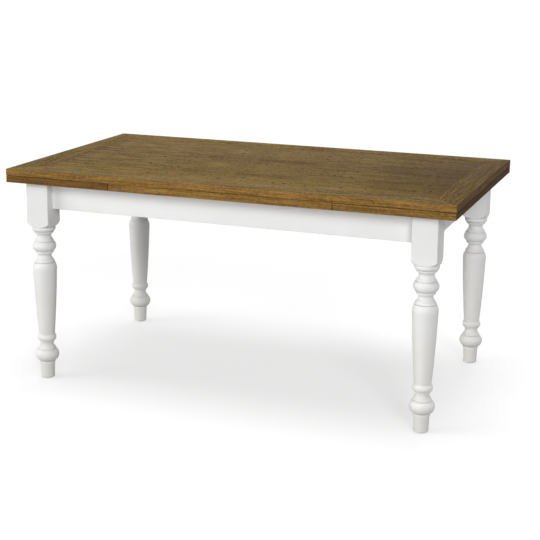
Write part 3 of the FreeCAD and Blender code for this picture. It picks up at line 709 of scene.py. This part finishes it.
class TABLE_OT_lower_layer(bpy.types.Operator):
    """Make the lower layer: the fixed centre board and a framed leaf at each end."""

    bl_idname = "table.lower_layer"
    bl_label = "Centre board and leaves"

    def execute(self, context):
        settings = context.scene.table_top
        finishes = top_finishes(settings)
        centre = outline(*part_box("centre_board"))
        wooden_board("centre_board", centre, (0, 2), settings, finishes["long"], range(4))
        for side, out in zip(SIDES, (-1, 1)):
            low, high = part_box(side + "_leaf_field")
            inner, joint = sorted((abs(low.x), abs(high.x)))
            outer = max(abs(corner.x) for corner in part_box(side + "_leaf_band"))
            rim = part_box(side + "_leaf_rail_back")[1].y
            field = [
                (out * inner, low.y), (out * joint, low.y), (out * joint, high.y), (out * inner, high.y)]
            wooden_board(side + "_leaf_field", field, (), settings, finishes["field"])
            band = [(out * outer, -rim), (out * outer, rim), (out * joint, high.y), (out * joint, low.y)]
            wooden_board(side + "_leaf_band", band, (0,), settings, finishes["leaf_cross"])
            for end, way in zip(ENDS, (-1, 1)):
                rail = [
                    (out * inner, way * rim), (out * outer, way * rim),
                    (out * joint, way * high.y), (out * inner, way * high.y),
                ]
                wooden_board(side + "_leaf_rail_" + end, rail, (0,), settings, finishes[side], (0,))
        return {"FINISHED"}


class TABLE_OT_legs(bpy.types.Operator):
    """Paint the four turned legs and finish their glides."""

    bl_idname = "table.legs"
    bl_label = "Turned legs"

    def execute(self, context):
        settings = context.scene.table_base
        for corner in CORNERS:
            dress("leg_" + corner, leg_finish(settings))
        dress("foot_glides", nylon_finish(settings))
        return {"FINISHED"}


class TABLE_OT_aprons(bpy.types.Operator):
    """Make the four aprons with rounded edges."""

    bl_idname = "table.aprons"
    bl_label = "Aprons"

    def execute(self, context):
        settings = context.scene.table_base
        for side in ENDS + SIDES:
            eased_copy("apron_" + side, settings.arris, apron_finish(settings))
        return {"FINISHED"}


class TABLE_OT_leg_fixings(bpy.types.Operator):
    """Finish the corner braces and the bolts that pull the legs in."""

    bl_idname = "table.leg_fixings"
    bl_label = "Leg fixings"

    def execute(self, context):
        settings = context.scene.table_base
        for corner in CORNERS:
            eased_copy("corner_brace_" + corner, settings.arris, beech_finish(settings))
        for node in ("hanger_bolts", "hanger_washers", "hanger_nuts"):
            dress(node, zinc_finish(settings))
        return {"FINISHED"}


class TABLE_OT_runners(bpy.types.Operator):
    """Finish the cross rails, the bearers and what they turn and run on."""

    bl_idname = "table.runners"
    bl_label = "Runners"

    def execute(self, context):
        settings = context.scene.table_base
        for side in SIDES:
            eased_copy("cross_rail_" + side, settings.arris, beech_finish(settings))
            for end in ENDS:
                corner = side + "_" + end
                eased_copy("bearer_" + corner, settings.arris, beech_finish(settings))
                dress("pivot_block_" + corner, beech_finish(settings))
                dress("shoe_" + corner, nylon_finish(settings))
        dress("pivot_pins", zinc_finish(settings))
        return {"FINISHED"}


class TABLE_OT_leaf_fittings(bpy.types.Operator):
    """Finish the brackets, pins and screws of the leaves and of the top."""

    bl_idname = "table.leaf_fittings"
    bl_label = "Leaf fittings"

    def execute(self, context):
        settings = context.scene.table_base
        for side in SIDES:
            for name in ("bracket_front", "bracket_back", "pins", "screws"):
                dress(side + "_leaf_" + name, zinc_finish(settings))
        dress("top_screws", zinc_finish(settings))
        return {"FINISHED"}


def studio_ground(settings):
    """The wide floor under the table."""
    bm = bmesh.new()
    bmesh.ops.create_grid(bm, x_segments=1, y_segments=1, size=FLOOR_REACH)
    mesh = bpy.data.meshes.new("floor")
    bm.to_mesh(mesh)
    bm.free()
    mesh.materials.append(finish("studio_floor", studio_floor, settings.floor, settings.lift))
    floor = bpy.data.objects.new("floor", mesh)
    return floor


def studio_sky(settings):
    """A sky that looks white, and lights the table a little from all round."""
    world = bpy.data.worlds.new("studio")
    world.use_nodes = True
    tree = world.node_tree
    tree.nodes.clear()
    strength = add(tree, "Mix", {0: seen_share(tree), 2: settings.ambient, 3: 1.0})
    sky = add(tree, "Background", {"Color": WHITE, "Strength": strength})
    add(tree, "OutputWorld", {"Surface": sky})
    return world


def studio_lamp(name, strength, spread, turn, rise):
    """A soft lamp far away."""
    sun = bpy.data.lights.new(name, "SUN")
    sun.energy = strength
    sun.angle = math.radians(spread)
    lamp = bpy.data.objects.new(name, sun)
    lamp.rotation_euler = (math.radians(90 - rise), 0, math.radians(turn))
    # The light from behind makes no sheen on the top.
    lamp.visible_glossy = name != "back"
    return lamp


def studio_camera(settings):
    """The camera, from the photograph's side."""
    lens = bpy.data.cameras.new("camera")
    lens.lens = settings.lens
    lens.shift_x, lens.shift_y = settings.shift
    camera = bpy.data.objects.new("camera", lens)
    camera.matrix_world = (
        Matrix.Translation(settings.camera_place)
        @ Matrix.Rotation(settings.camera_turn, 4, "Z")
        @ Matrix.Rotation(math.pi / 2 - settings.camera_dip, 4, "X")
        @ Matrix.Rotation(settings.camera_lean, 4, "Z"))
    return camera


class TABLE_OT_stage(bpy.types.Operator):
    """Make the floor, the light and the camera."""

    bl_idname = "table.stage"
    bl_label = "Stage"

    def execute(self, context):
        scene = context.scene
        settings = scene.table_stage
        floor = studio_ground(settings)
        lamps = [studio_lamp(name, getattr(settings, name), *aim) for name, aim in LAMPS.items()]
        camera = studio_camera(settings)
        for item in (floor, *lamps, camera):
            scene.collection.objects.link(item)
        scene.world = studio_sky(settings)
        scene.camera = camera
        scene.view_settings.view_transform = "Standard"
        return {"FINISHED"}


OPERATORS = (
    TABLE_OT_stage, TABLE_OT_upper_board, TABLE_OT_lower_layer, TABLE_OT_legs, TABLE_OT_aprons,
    TABLE_OT_leg_fixings, TABLE_OT_runners, TABLE_OT_leaf_fittings,
)
SETTINGS = {"table_top": TableTopSettings, "table_base": TableBaseSettings, "table_stage": TableStageSettings}


class TABLE_PT_panel(bpy.types.Panel):
    """Lists the table's settings and pieces."""

    bl_idname = "TABLE_PT_panel"
    bl_label = "Draw-leaf table"
    bl_space_type = "VIEW_3D"
    bl_region_type = "UI"
    bl_category = "Table"

    def draw(self, context):
        for group in SETTINGS:
            settings = getattr(context.scene, group)
            box = self.layout.box()
            for name in settings.__annotations__:
                box.prop(settings, name)
        for operator in OPERATORS:
            self.layout.operator(operator.bl_idname)


def register():
    """Registers the settings, the operators and the panel."""
    for group, settings in SETTINGS.items():
        bpy.utils.register_class(settings)
        setattr(bpy.types.Scene, group, bpy.props.PointerProperty(type=settings))
    for operator in OPERATORS:
        bpy.utils.register_class(operator)
    bpy.utils.register_class(TABLE_PT_panel)


def unregister():
    """Takes the panel, the operators and the settings out again."""
    bpy.utils.unregister_class(TABLE_PT_panel)
    for operator in reversed(OPERATORS):
        bpy.utils.unregister_class(operator)
    for group, settings in SETTINGS.items():
        delattr(bpy.types.Scene, group)
        bpy.utils.unregister_class(settings)


def main():
    """Makes the whole table."""
    register()
    bpy.ops.table.stage()
    bpy.ops.table.upper_board()
    bpy.ops.table.lower_layer()
    bpy.ops.table.legs()
    bpy.ops.table.aprons()
    bpy.ops.table.leg_fixings()
    bpy.ops.table.runners()
    bpy.ops.table.leaf_fittings()


if __name__ == "__main__":
    main()
